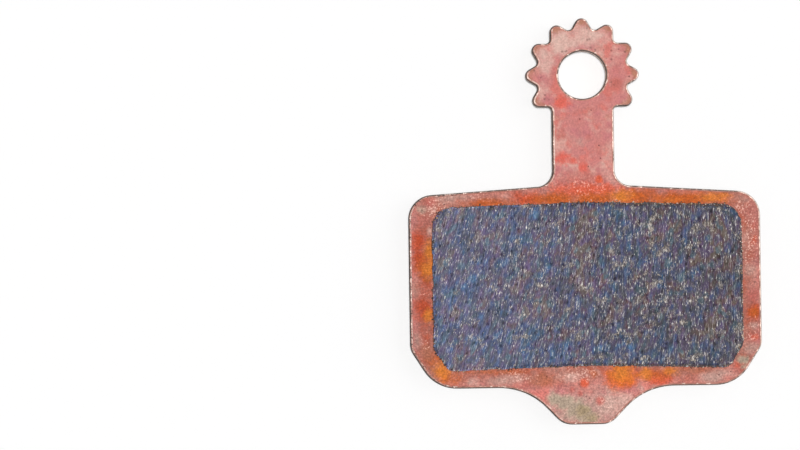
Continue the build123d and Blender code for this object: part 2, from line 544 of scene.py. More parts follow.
@dataclass(frozen=True)
class CopperFlash:
    """Thin copper on the plate's front, stained orange and red by the heat of sintering."""

    lining_lo: tuple[float, float]
    lining_hi: tuple[float, float]
    eye: tuple[float, float, float]
    eye_tip: float
    margins: tuple[float, float] = (12.2, 13.4)
    speckled: tuple[float, float] = (9.0, 11.0)
    rosy: Colour = srgb(198, 125, 120)
    cream: Colour = srgb(212, 166, 154)
    blush: Colour = srgb(206, 110, 100)
    mauve: Colour = srgb(190, 116, 118)
    warm: Colour = srgb(178, 114, 100)
    fiery: Colour = srgb(180, 94, 72)
    tip: Colour = srgb(172, 118, 92)
    soot: Colour = srgb(92, 60, 54)

    STAIN_RIM = 1.53
    RIM_OUTSIDE = 0.25
    RIM_INSIDE = 0.75
    FAR_AWAY = 9.0

    def skin(self, sheet: Sheet, place: Signal) -> Skin:
        """Builds the finish.

        Args:
            sheet: The material's nodes.
            place: Object coordinates in millimetres.

        Returns:
            The stained copper, with pale scale and painted glints, a few pits, and dark specks on the eye.
        """
        flat = sheet.vector("MULTIPLY", place, (1.0, 1.0, 0.0))
        fray = sheet.noise(flat, 1.3, 5.0, 0.68) * 1.2
        colour = self._ground(sheet, place)
        for tone in Tone:
            ovals = [stain for stain in STAINS if stain.tone is tone]
            if ovals:
                colour = sheet.mix(self._cover(sheet, flat, fray, ovals, tone), colour, tone.value)
        colour = sheet.mix(self._tips(sheet, place), colour, self.tip)
        fine = sheet.noise(place, 6.5, 3.0, 0.65)
        frost_and_glint = self._cover(sheet, flat, fray, list(FROST_AND_GLINT_SPOTS), Tone.FROST_AND_GLINT)
        calm = self._calm(sheet, place)
        x, y, _ = sheet.axes(place)
        colour = sheet.shade(colour, 1.0 - sheet.step(abs(x), *self.margins, 0.1))
        # Pale specks: partly pale scale, partly painted glints.
        scale = sheet.step(fine + frost_and_glint * 0.15, 0.66, 0.74, 0.5) * calm
        colour = sheet.mix(scale, colour, Tone.FROST_AND_GLINT.value)
        pit = sheet.step(sheet.cells(place, 1.3), 0.1, 0.05)
        pit = pit & sheet.step(sheet.noise(place, 0.7), 0.46, 0.54)
        colour = sheet.mix(pit * 0.7, colour, self.soot)
        specks = sheet.step(sheet.cells(place, 2.1), 0.26, 0.14, 0.5)
        specks = specks & sheet.step(sheet.noise(place, 0.9), 0.47, 0.53)
        colour = sheet.mix(specks & sheet.step(y - x * 0.6, *self.speckled), colour, self.soot)
        grain = sheet.noise(place, 3.2, 5.0, 0.7)
        colour = sheet.shade(colour, (sheet.step(grain, 0.22, 0.78, 0.4) - 0.2) * calm + 0.9)
        sparkle = sheet.step(fine + frost_and_glint * 0.05, 0.25, 0.75, 0.7)
        colour = sheet.shade(colour, (sparkle - 0.35) * calm + 1.0)
        return Skin(colour, grain * 0.25 + 0.48, 0.12, fine * 0.012 + scale * 0.008 - pit * 0.03)

    def _calm(self, sheet: Sheet, place: Signal) -> Signal:
        """How grainy the copper is: 1 round the lining, 0.45 on the smoother neck and eye."""
        _, y, _ = sheet.axes(place)
        return sheet.step(y, self.lining_hi[1] + 3.0, self.lining_hi[1] + 0.8, 0.55) + 0.45

    def _ground(self, sheet: Sheet, place: Signal) -> Signal:
        """Colour before the stains: cool at the eye, warm beside the lining.

        Args:
            sheet: The material's nodes.
            place: Object coordinates in millimetres.

        Returns:
            The colour, warmed by how near the lining's rectangle is.
        """
        x, y, _ = sheet.axes(place)
        away = sheet.beyond(x, y, self.lining_lo, self.lining_hi)
        broad = sheet.noise(place, 0.37, 3.0)
        patchy = sheet.noise(place, 1.1, 3.0, 0.5)
        flush = sheet.noise(place, 0.73, 3.0, 0.5)
        cool = sheet.mix(sheet.step(broad + patchy * 0.5, 0.7, 0.92, 0.8), self.rosy, self.cream)
        cool = sheet.mix(sheet.step(flush, 0.5, 0.66, 0.8), cool, self.blush)
        cool = sheet.mix(sheet.step(flush, 0.47, 0.32, 0.8), cool, self.mauve)
        hot = sheet.mix(sheet.step(patchy, 0.45, 0.65, 0.8), self.warm, self.fiery)
        hot = sheet.mix(sheet.step(flush, 0.53, 0.7, 0.6), hot, self.cream)
        return sheet.mix(sheet.step(away + broad * 1.6, 3.2, 1.0), cool, hot)

    def _tips(self, sheet: Sheet, place: Signal) -> Signal:
        """Mask of the brownish wear on the teeth.

        Args:
            sheet: The material's nodes.
            place: Object coordinates in millimetres.

        Returns:
            0.85 where the distance to the eye's middle is about that of the teeth's tips, 0 on the neck.
        """
        _, y, _ = sheet.axes(place)
        radius = sheet.vector("DISTANCE", place, self.eye, output="Value")
        patchy = sheet.noise(place, 1.7, 4.0, 0.65)
        wear_and_sheen = sheet.step(radius + patchy * 1.6, self.eye_tip - 0.05, self.eye_tip + 0.6, 0.85)
        return wear_and_sheen & sheet.step(y, self.eye[1] - 4.0, self.eye[1] - 2.5)

    def _cover(self, sheet: Sheet, place: Signal, fray: Signal, ovals: list[Stain], tone: Tone) -> Signal:
        """Mask of several stains, from the distance to the nearest in its own half sizes.

        Args:
            sheet: The material's nodes.
            place: Flattened coordinates in millimetres.
            fray: Noise about 0.6 that frays the rims.
            ovals: The stains.
            tone: Their tone, which tells how softly they fade.

        Returns:
            1 in the middle of a stain, falling to 0 at its frayed rim.
        """
        nearest: Value = self.FAR_AWAY
        for oval in ovals:
            shrink = (1.0 / oval.wide, 1.0 / oval.tall, 1.0)
            shift = (-oval.x / oval.wide, -oval.y / oval.tall, oval.lift())
            own = sheet.vector("MULTIPLY_ADD", place, shrink, shift)
            nearest = sheet.vector("LENGTH", own, output="Value") & nearest
        rim_start = self.STAIN_RIM + self.RIM_OUTSIDE * tone.fade()
        rim_end = self.STAIN_RIM - self.RIM_INSIDE * tone.fade()
        return sheet.step(nearest + fray, rim_start, rim_end)


@dataclass(frozen=True)
class DeburredEdge:
    """Metal along the plate's front edge: dull outside, with painted highlights in short dashes and painted
    shade on the flanks turned from the light.
    """

    # bright is the painted highlight, tan a pale painted sheen, and dark both the painted shade and the
    # nicks.
    bright: Colour = srgb(232, 208, 196)
    dull: Colour = srgb(96, 80, 72)
    dark: Colour = srgb(48, 38, 35)
    tan: Colour = srgb(206, 178, 162)
    copper: Colour = srgb(184, 122, 108)
    ticked: tuple[float, float] = (-8.0, -13.0)

    def skin(self, sheet: Sheet, place: Signal) -> Skin:
        """Builds the finish of the plate's broken edge.

        Args:
            sheet: The material's nodes.
            place: Object coordinates in millimetres.

        Returns:
            A dull edge with a painted highlight line, which noise breaks into dashes.
        """
        dashes = sheet.noise(place, 1.8, 4.0, 0.7)
        # Painted highlight on the broken edge, in dashes.
        painted_highlight = sheet.step(dashes, 0.5, 0.68, 0.5)
        colour = sheet.mix(painted_highlight, self.dull, self.bright)
        return Skin(colour, 0.45 - painted_highlight * 0.1, 0.4, dashes * 0.02)

    def material(self) -> bpy.types.Material:
        """Makes the burr's own material.

        Light is painted on from one side: the flanks that face it get painted highlights in dashes and a pale
        painted sheen, and the outer flanks turned from it get painted shade.

        Returns:
            The material.
        """
        material, sheet = material_of("burr_finish")
        place = sheet.place()
        across = sheet.mark("across")
        rubbed = sheet.mark("rubbed")
        dashes = sheet.noise(place, 2.4, 4.0, 0.7)
        nicks = sheet.noise(place, 5.0, 2.0, 0.6)
        # How much painted light each flank gets, broken into dashes.
        level = dashes * 3.2 + rubbed - 0.5
        colour = sheet.mix(sheet.step(across + dashes * 0.8, 0.2, 0.7), self.dull, self.copper)
        # Painted shade on the outer flanks turned from the light.
        painted_shade = sheet.step(level, 0.8, 0.35) & sheet.step(across, 0.3, -0.2)
        colour = sheet.mix(painted_shade, colour, self.dark)
        # Painted highlight on the flanks that face the light.
        painted_highlight = sheet.step(level, 1.3, 1.7)
        colour = sheet.mix(painted_highlight, colour, self.bright)
        # A pale painted sheen on the outermost flanks that face the light.
        wear_and_sheen = sheet.step(across, -0.75, -0.95, 0.8) & sheet.step(rubbed, 0.2, 0.6)
        colour = sheet.mix(wear_and_sheen, colour, self.tan)
        x, _, _ = sheet.axes(place)
        ticks = sheet.step(nicks, 0.46, 0.4, 0.85) & sheet.step(x, *self.ticked)
        colour = sheet.mix(ticks, colour, self.dark)
        close_material(sheet, Skin(colour, 0.5 - painted_highlight * 0.1, 0.25, dashes * 0.02), 0.3)
        return material


@dataclass(frozen=True)
class ShearedWall:
    """The blanked wall: smooth near the back, torn near the front, with painted light by the eye and in its
    hole.
    """

    pin_hole: tuple[float, float, float]
    # How far from the pin hole the painted light on the wall reaches.
    rubbed_reach: tuple[float, float] = (12.0, 8.0)
    painted_hole_reach: tuple[float, float] = (2.9, 2.6)
    burnished: Colour = srgb(104, 94, 88)
    torn: Colour = srgb(70, 58, 53)
    flash: Colour = srgb(150, 100, 84)
    rust: Colour = srgb(112, 70, 48)
    # Paler wall colours painted as light near the eye and in the pin hole.
    painted_hole_light: Colour = srgb(196, 174, 162)
    rubbed: Colour = srgb(150, 134, 126)

    def skin(self, sheet: Sheet, place: Signal) -> Skin:
        """Builds the finish.

        Args:
            sheet: The material's nodes.
            place: Object coordinates in millimetres.

        Returns:
            Upright scratches, with copper that ran over the front edge.
        """
        _, _, height = sheet.axes(place)
        scratches = sheet.noise(sheet.grain(place, (0.12, 0.12, 1.4)), 1.0, 4.0, 0.65)
        blotch = sheet.noise(place, 1.2, 3.0)
        tear = sheet.step(height + blotch * 0.5, 1.1, 1.3)
        colour = sheet.mix(tear, self.burnished, self.torn)
        colour = sheet.shade(colour, scratches * 0.9 + 0.55)
        colour = sheet.mix(sheet.step(blotch, 0.55, 0.7, 0.6), colour, self.rust)
        # Painted light: the wall is paler near the eye and paler still in the pin hole, where it lies in
        # shade.
        reach = sheet.vector("DISTANCE", place, self.pin_hole, output="Value")
        colour = sheet.mix(sheet.step(reach, *self.rubbed_reach, 0.6), colour, self.rubbed)
        colour = sheet.mix(sheet.step(reach, *self.painted_hole_reach, 0.75), colour, self.painted_hole_light)
        colour = sheet.mix(sheet.step(height + scratches * 0.4, 1.75, 1.95, 0.8), colour, self.flash)
        return Skin(colour, tear * 0.2 + 0.4, 0.6, scratches * (tear * 0.05 + 0.02))


@dataclass(frozen=True)
class GreyPaint:
    """Satin grey paint on the back, with a plain black grained field printed in the middle."""

    field_lo: tuple[float, float] = (-5.1, -8.1)
    field_hi: tuple[float, float] = (4.85, -2.55)
    grey: Colour = srgb(84, 82, 79)
    dark: Colour = srgb(74, 73, 71)
    dust: Colour = srgb(190, 186, 178)
    thin: Colour = srgb(88, 74, 62)
    ink: Colour = srgb(9, 9, 8)
    # The painted highlight on the ink's pebbles.
    ink_highlight: Colour = srgb(98, 96, 90)

    def skin(self, sheet: Sheet, place: Signal) -> Skin:
        """Builds the finish.

        Args:
            sheet: The material's nodes.
            place: Object coordinates in millimetres.

        Returns:
            Paint with dust and thin brownish places, and the inked field over it.
        """
        x, y, height = sheet.axes(place)
        cloud = sheet.noise(place, 0.25, 3.0)
        peel = sheet.noise(place, 3.0, 3.0, 0.6)
        colour = sheet.mix(sheet.step(cloud, 0.35, 0.65), self.dark, self.grey)
        colour = sheet.shade(colour, peel * 0.4 + 0.8)
        colour = sheet.mix(sheet.step(height + peel * 0.3, 0.28, 0.45, 0.6), colour, self.thin)
        dust = sheet.step(sheet.cells(place, 0.9), 0.07, 0.03) & sheet.step(sheet.noise(place, 0.6), 0.5, 0.6)
        colour = sheet.mix(dust * 0.7, colour, self.dust)
        paint = Skin(colour, peel * 0.2 + 0.36, 0.0, peel * 0.02 + dust * 0.02)
        return paint.under(self._ink(sheet, place), self._field(sheet, x, y, height))

    def _field(self, sheet: Sheet, x: Signal, y: Signal, height: Signal) -> Signal:
        """Mask of the printed field: 1 inside its rectangle on the back face."""
        away = sheet.beyond(x, y, self.field_lo, self.field_hi)
        return sheet.step(away, 0.03, -0.03) & sheet.step(height, 0.1, 0.05)

    def _ink(self, sheet: Sheet, place: Signal) -> Skin:
        """Builds the ink.

        Args:
            sheet: The material's nodes.
            place: Object coordinates in millimetres.

        Returns:
            Black ink that dried to a pebbled grain, with painted highlights on the pebbles.
        """
        pebbles = sheet.cells(sheet.warp(place, 2.0, 0.1), 5.0)
        fine = sheet.noise(place, 9.0, 3.0, 0.6)
        # Painted highlights on the pebbles' tops.
        high = sheet.step(pebbles + fine * 0.6, 0.86, 0.6)
        colour = sheet.mix(high * 0.6, self.ink, self.ink_highlight)
        return Skin(colour, fine * 0.25 + 0.4, 0.0, high * 0.02 + fine * 0.01)


@dataclass(frozen=True)
class PlateFinish:
    """The whole plate: front, edge, wall and back, told apart by height."""

    front_height: float
    copper: CopperFlash
    wall: ShearedWall
    edge: DeburredEdge = DeburredEdge()
    back: GreyPaint = GreyPaint()
    roll: float = 0.35

    def material(self) -> bpy.types.Material:
        """Makes the material.

        Returns:
            The material, each finish laid over the one below it by a mask on height.
        """
        material, sheet = material_of("plate_finish")
        place = sheet.place()
        _, _, height = sheet.axes(place)
        ragged = sheet.noise(place, 1.5, 3.0) * 0.3 + height
        front = self.front_height
        start = front - EDGE_BREAK
        skin = self.back.skin(sheet, place)
        wall = self.wall.skin(sheet, place)
        skin = skin.under(wall, sheet.step(ragged, self.roll + 0.1, self.roll + 0.25))
        edge = self.edge.skin(sheet, place)
        skin = skin.under(edge, sheet.step(height, start - 0.02, start + 0.01))
        copper = self.copper.skin(sheet, place)
        skin = skin.under(copper, sheet.step(height, front - 0.02, front - 0.005))
        close_material(sheet, skin, 0.14)
        return material


@dataclass(frozen=True)
class SinteredLining:
    """Sintered metal: a ground face in blue-grey streaks, a grainy wall and rusty plug ends."""

    fan_x: float
    fan_far: float
    face_left: float
    face_right: float
    sky: Colour = srgb(60, 106, 148)
    slate: Colour = srgb(54, 78, 124)
    indigo: Colour = srgb(67, 68, 112)
    steel: Colour = srgb(82, 82, 92)
    violet: Colour = srgb(78, 59, 94)
    maroon: Colour = srgb(92, 57, 67)
    umber: Colour = srgb(102, 84, 74)
    plum: Colour = srgb(82, 59, 102)
    verdigris: Colour = srgb(66, 98, 112)
    haze: Colour = srgb(84, 98, 128)
    sand: Colour = srgb(117, 108, 104)
    # grain is the colour of the painted glints on bright grains.
    grain: Colour = srgb(196, 181, 166)
    glint: Colour = srgb(226, 220, 214)
    crust: Colour = srgb(88, 70, 60)
    # pale is the painted highlight at the right side's foot.
    pale: Colour = srgb(206, 182, 172)
    wall_grey: Colour = srgb(92, 90, 92)
    wall_brown: Colour = srgb(96, 74, 62)
    plug: Colour = srgb(84, 66, 54)
    plug_dark: Colour = srgb(46, 39, 36)
    rust: Colour = srgb(110, 64, 36)
    plug_below: tuple[float, float] = (1.7, 1.5)

    def material(self) -> bpy.types.Material:
        """Makes the material.

        Returns:
            The material, joined from the wall, the ground face and the plug ends.
        """
        material, sheet = material_of("lining_finish")
        place = sheet.place()
        _, _, height = sheet.axes(place)
        skin = self._wall(sheet, place).under(self._face(sheet, place), sheet.mark("ground"))
        skin = skin.under(self._plug(sheet, place), sheet.step(height, *self.plug_below))
        close_material(sheet, skin, 0.35)
        return material

    def _face(self, sheet: Sheet, place: Signal) -> Skin:
        """The ground face: temper tints along grinding lines, with clusters of grit and glints.

        The lines fan out from a far point: a line keeps one value of (x - fan_x) * (1 + y / fan_far).

        Args:
            sheet: The material's nodes.
            place: Object coordinates in millimetres.

        Returns:
            The face's finish.
        """
        x, y, z = sheet.axes(place)
        across = (x - self.fan_x) * (y * (1.0 / self.fan_far) + 1.0)
        lines = sheet.node("ShaderNodeCombineXYZ", None, {0: across, 1: y, 2: z})
        colour = self._tints(sheet, lines)
        leftward = sheet.step(x, self.face_right - 6.0, self.face_left + 2.0)
        colour = sheet.mix(leftward * 0.3, colour, self.haze)
        cluster = sheet.streaks(lines, (0.95, 1.0), 3.0, 0.65) - leftward * 0.03
        colour = sheet.mix(sheet.step(cluster, 0.54, 0.66, 0.7), colour, self.sand)
        streak = sheet.streaks(lines, (0.09, 0.9), 2.0, 0.75)
        fine = sheet.streaks(lines, (0.07, 0.3), 2.0, 0.7)
        cut_and_sheen = streak * 0.65 + fine * 0.35
        colour = sheet.shade(colour, (sheet.step(cut_and_sheen, 0.38, 0.5, 0.5) + 0.5) * (leftward * 0.36 + 0.5))
        grit = sheet.mark("grit")
        fleck = sheet.streaks(lines, (0.075, 0.2), 2.0, 0.7)
        # Painted highlights: neutral light added where the streaks are brightest.
        colour = sheet.lift(colour, sheet.step(cut_and_sheen, 0.5, 0.66, 0.22))
        # Pale flecks: painted glints on bright grains.
        lit = sheet.step(fleck + cluster * 0.85 + grit * 0.04, 1.05, 1.22, 0.65)
        colour = sheet.mix(lit, colour, self.grain)
        dark = sheet.streaks(lines, (0.09, 0.5), 3.0, 0.6)
        # Painted shade: pits and dark streaks are darkened as hollows in shade.
        pits = sheet.mark("pit") | sheet.step(dark, 0.42, 0.27)
        colour = sheet.shade(colour, 1.0 - pits * 0.65)
        rim = sheet.mark("rim")
        # Painted light: the broken rim is lightened towards the left, against the shade on its slope.
        colour = sheet.shade(colour, rim * leftward * 0.8 + 1.0)
        crusted = rim & sheet.step(fine + leftward * 0.2, 0.62, 0.42, 0.7)
        colour = sheet.mix(crusted, colour, self.crust)
        glints = sheet.step(fine + streak * 0.4 + cluster * 0.25 + grit * 0.03, 0.96, 1.06, 0.9)
        colour = sheet.mix(glints, colour, self.glint)
        rough = sheet.step(streak, 0.3, 0.7, 0.15) + 0.52 - glints * 0.1
        return Skin(colour, rough, 0.15, streak * 0.02 + fine * 0.02 - pits * 0.02)

    def _tints(self, sheet: Sheet, lines: Signal) -> Signal:
        """Patches of temper tints, drawn out along the grinding lines.

        Args:
            sheet: The material's nodes.
            lines: Coordinates across the lines, along them, and up.

        Returns:
            The colour, lighter and darker in clouds.
        """
        vast = sheet.streaks(lines, (4.0, 4.5))
        broad = sheet.streaks(lines, (1.4, 2.1))
        patch = sheet.streaks(lines, (0.55, 1.0))
        stops = [
            (0.28, self.sky),
            (0.37, self.slate),
            (0.45, self.indigo),
            (0.5, self.steel),
            (0.56, self.violet),
            (0.62, self.maroon),
            (0.7, self.umber),
        ]
        colour = sheet.ramp(patch * 0.7 + broad * 0.6 + vast * 0.4 - 0.35, stops)
        hue = sheet.streaks(lines, (0.62, 1.05))
        colour = sheet.mix(sheet.step(hue, 0.54, 0.68, 0.8), colour, self.plum)
        colour = sheet.mix(sheet.step(hue, 0.44, 0.3, 0.8), colour, self.verdigris)
        cloud = sheet.streaks(lines, (0.26, 1.4), 2.0)
        return sheet.shade(colour, sheet.step(cloud + broad * 0.6, 0.35, 1.25, 1.75) + 0.13)

    def _wall(self, sheet: Sheet, place: Signal) -> Skin:
        """Builds the unground wall.

        Args:
            sheet: The material's nodes.
            place: Object coordinates in millimetres.

        Returns:
            Grains of grey and brown, with a painted highlight line at the right side's foot.
        """
        x, _, height = sheet.axes(place)
        grains = sheet.cells(place, 6.0)
        fine = sheet.noise(place, 7.0, 3.0, 0.6)
        blotch = sheet.noise(place, 0.9, 3.0)
        colour = sheet.mix(sheet.step(blotch, 0.42, 0.62), self.wall_grey, self.wall_brown)
        colour = sheet.shade(colour, 1.35 - grains * 0.9)
        # Painted highlight along the foot of the right side, which faces the light.
        foot = sheet.step(height + blotch, 2.7, 2.4) & sheet.step(x, self.face_right - 0.15, self.face_right)
        colour = sheet.mix(foot, colour, self.pale)
        return Skin(colour, fine * 0.3 + 0.45, 0.3, fine * 0.03 - grains * 0.05)

    def _plug(self, sheet: Sheet, place: Signal) -> Skin:
        """Builds the plug ends.

        Args:
            sheet: The material's nodes.
            place: Object coordinates in millimetres.

        Returns:
            Rusty sinter with dark pores.
        """
        pores = sheet.noise(place, 3.0, 4.0, 0.7)
        fine = sheet.noise(place, 9.0, 3.0, 0.6)
        blotch = sheet.noise(place, 1.4, 4.0, 0.65)
        colour = sheet.mix(sheet.step(blotch, 0.48, 0.6, 0.65), self.plug, self.rust)
        colour = sheet.mix(sheet.step(pores, 0.52, 0.36, 0.85), colour, self.plug_dark)
        colour = sheet.shade(colour, sheet.step(fine, 0.3, 0.7, 1.1) + 0.4)
        return Skin(colour, fine * 0.3 + 0.5, 0.2, pores * 0.05 + fine * 0.03)


class Relief:
    """Seeded noise over the plane, worked out on whole arrays."""

    CELLS = 256
    FALL = 0.55
    SHIFT_X = 17.3
    SHIFT_Y = -9.1

    def __init__(self, seed: int) -> None:
        """Fills a lattice with random heights and a second one with random points.

        Args:
            seed: The random numbers' seed.
        """
        draw = np.random.default_rng(seed)
        self.heights = draw.random((self.CELLS, self.CELLS))
        self.points = draw.random((self.CELLS, self.CELLS, 2))

    def smooth(self, x: Array, y: Array) -> Array:
        """Smooth noise.

        Args:
            x: Places across, in cells.
            y: Places along.

        Returns:
            Values from 0 to 1: the lattice's heights, blended by t * t * (3 - 2 * t) across a cell.
        """
        column, row = np.floor(x).astype(int), np.floor(y).astype(int)
        across, along = x - column, y - row
        across = across * across * (3.0 - 2.0 * across)
        along = along * along * (3.0 - 2.0 * along)
        size = self.CELLS
        low = self.heights[row % size, column % size] * (1.0 - across)
        low = low + self.heights[row % size, (column + 1) % size] * across
        high = self.heights[(row + 1) % size, column % size] * (1.0 - across)
        high = high + self.heights[(row + 1) % size, (column + 1) % size] * across
        return low * (1.0 - along) + high * along

    def layered(self, x: Array, y: Array, layers: int) -> Array:
        """Noise in layers, each twice as fine as the last and FALL as strong.

        Args:
            x: Places across, in cells of the coarsest layer.
            y: Places along.
            layers: How many layers are added up.

        Returns:
            Their sum, scaled back to 0 to 1.
        """
        total, weight, strength = np.zeros_like(x), 0.0, 1.0
        for layer in range(layers):
            across = x * 2**layer + self.SHIFT_X * layer
            along = y * 2**layer + self.SHIFT_Y * layer
            total = total + strength * self.smooth(across, along)
            weight += strength
            strength *= self.FALL
        return total / weight

    def scattered(self, x: Array, y: Array) -> tuple[Array, Array]:
        """Scattered points, one at a random place in each cell.

        Args:
            x: Places across, in cells.
            y: Places along.

        Returns:
            The distance to the nearest point, and that point's own random value.
        """
        column, row = np.floor(x).astype(int), np.floor(y).astype(int)
        best = np.full(x.shape, np.inf)
        worth = np.zeros(x.shape)
        for down in (-1, 0, 1):
            for side in (-1, 0, 1):
                r, c = (row + down) % self.CELLS, (column + side) % self.CELLS
                point = self.points[r, c]
                gap = np.hypot(column + side + point[..., 0] - x, row + down + point[..., 1] - y)
                nearer = gap < best
                best = np.where(nearer, gap, best)
                worth = np.where(nearer, self.heights[r, c], worth)
        return best, worth


def ease(value: Array, start: float, end: float) -> Array:
    """Smooth step from 0 at `start` to 1 at `end`, on an array."""
    t = np.clip((value - start) / (end - start), 0.0, 1.0)
    return t * t * (3.0 - 2.0 * t)


class MeshWork:
    """Gathers corners, faces and corner values of several shells into one mesh."""

    def __init__(self, *names: str) -> None:
        """Starts with nothing but the names of the corner values.

        Args:
            names: The names.
        """
        self.corners: list[Array] = []
        self.faces: list[list[int]] = []
        self.marks: dict[str, list[Array]] = {name: [] for name in names}
        self.count = 0

    def add(self, points: Array, **marks: Array) -> Array:
        """Adds corners.

        Args:
            points: An array (..., 3) in millimetres.
            marks: Values for each corner, by attribute name.

        Returns:
            Their numbers, in the array's own shape.
        """
        shape = points.shape[:-1]
        size = int(np.prod(shape))
        self.corners.append(points.reshape(-1, 3))
        for name, values in self.marks.items():
            values.append(np.broadcast_to(marks.get(name, 0.0), shape).reshape(-1))
        numbers = np.arange(self.count, self.count + size).reshape(shape)
        self.count += size
        return numbers

    def quads(self, numbers: Array, closed: bool = False) -> None:
        """Joins grids of corner numbers by four-sided faces.

        Args:
            numbers: The grid, or several, whose rows and columns follow each other anticlockwise
                seen from outside.
            closed: Whether the last column joins the first.
        """
        grid = np.concatenate([numbers, numbers[..., :1]], axis=-1) if closed else numbers
        corners = [grid[..., :-1, :-1], grid[..., :-1, 1:], grid[..., 1:, 1:], grid[..., 1:, :-1]]
        self.faces.extend(np.stack(corners, axis=-1).reshape(-1, 4).tolist())

    def fan(self, ring: Array, tip: Array) -> None:
        """Closes rings of corner numbers with three-sided faces.

        Args:
            ring: The ring, or several, anticlockwise seen from outside.
            tip: The corner in the middle of each ring.
        """
        tips = np.broadcast_to(np.asarray(tip)[..., None], ring.shape)
        faces = np.stack([ring, np.roll(ring, -1, axis=-1), tips], axis=-1)
        self.faces.extend(faces.reshape(-1, 3).tolist())

    def finish(self, name: str) -> bpy.types.Object:
        """Makes the mesh object.

        Args:
            name: The piece's name.

        Returns:
            The object, at the origin, with its corners in metres.
        """
        mesh = bpy.data.meshes.new(name)
        corners = np.concatenate(self.corners) * MM
        mesh.from_pydata(corners.tolist(), [], self.faces)
        for mark, values in self.marks.items():
            mesh.attributes.new(mark, "FLOAT", "POINT").data.foreach_set("value", np.concatenate(values))
        mesh.shade_smooth()
        mesh.update()
        piece = bpy.data.objects.new(name, mesh)
        bpy.context.scene.collection.objects.link(piece)
        return piece


def node_corners(node: str) -> Array:
    """Corners of a CAD node's mesh.

    Args:
        node: The node's name.

    Returns:
        An array (n, 3) in millimetres.
    """
    corners = frame["nodes"][node].data.vertices
    flat = np.empty(len(corners) * 3)
    corners.foreach_get("co", flat)
    return flat.reshape(-1, 3) / MM


def mount_place(name: str) -> tuple[float, float, float]:
    """Place of one of the record's mounts, in millimetres."""
    mount = next(mount for mount in frame["record"]["mounts"] if mount["name"] == name)
    return tuple(float(part) / MM for part in mount["pos_m"])


def denser_ends(low: float, high: float, step: float, reach: float, count: int) -> Array:
    """Positions from low to high, evenly stepped, and crowding towards both ends.

    Args:
        low: First position.
        high: Last position.
        step: Step in the middle.
        reach: Length of each crowded end.
        count: Positions in each crowded end.

    Returns:
        The positions, where an end follows reach * (1 - cos(angle)).
    """
    end = reach * (1.0 - np.cos(np.linspace(0.0, math.pi / 2.0, count, endpoint=False)))
    middle = np.linspace(low + reach, high - reach, int(round((high - low - 2.0 * reach) / step)) + 1)
    return np.concatenate([low + end, middle, (high - end)[::-1]])


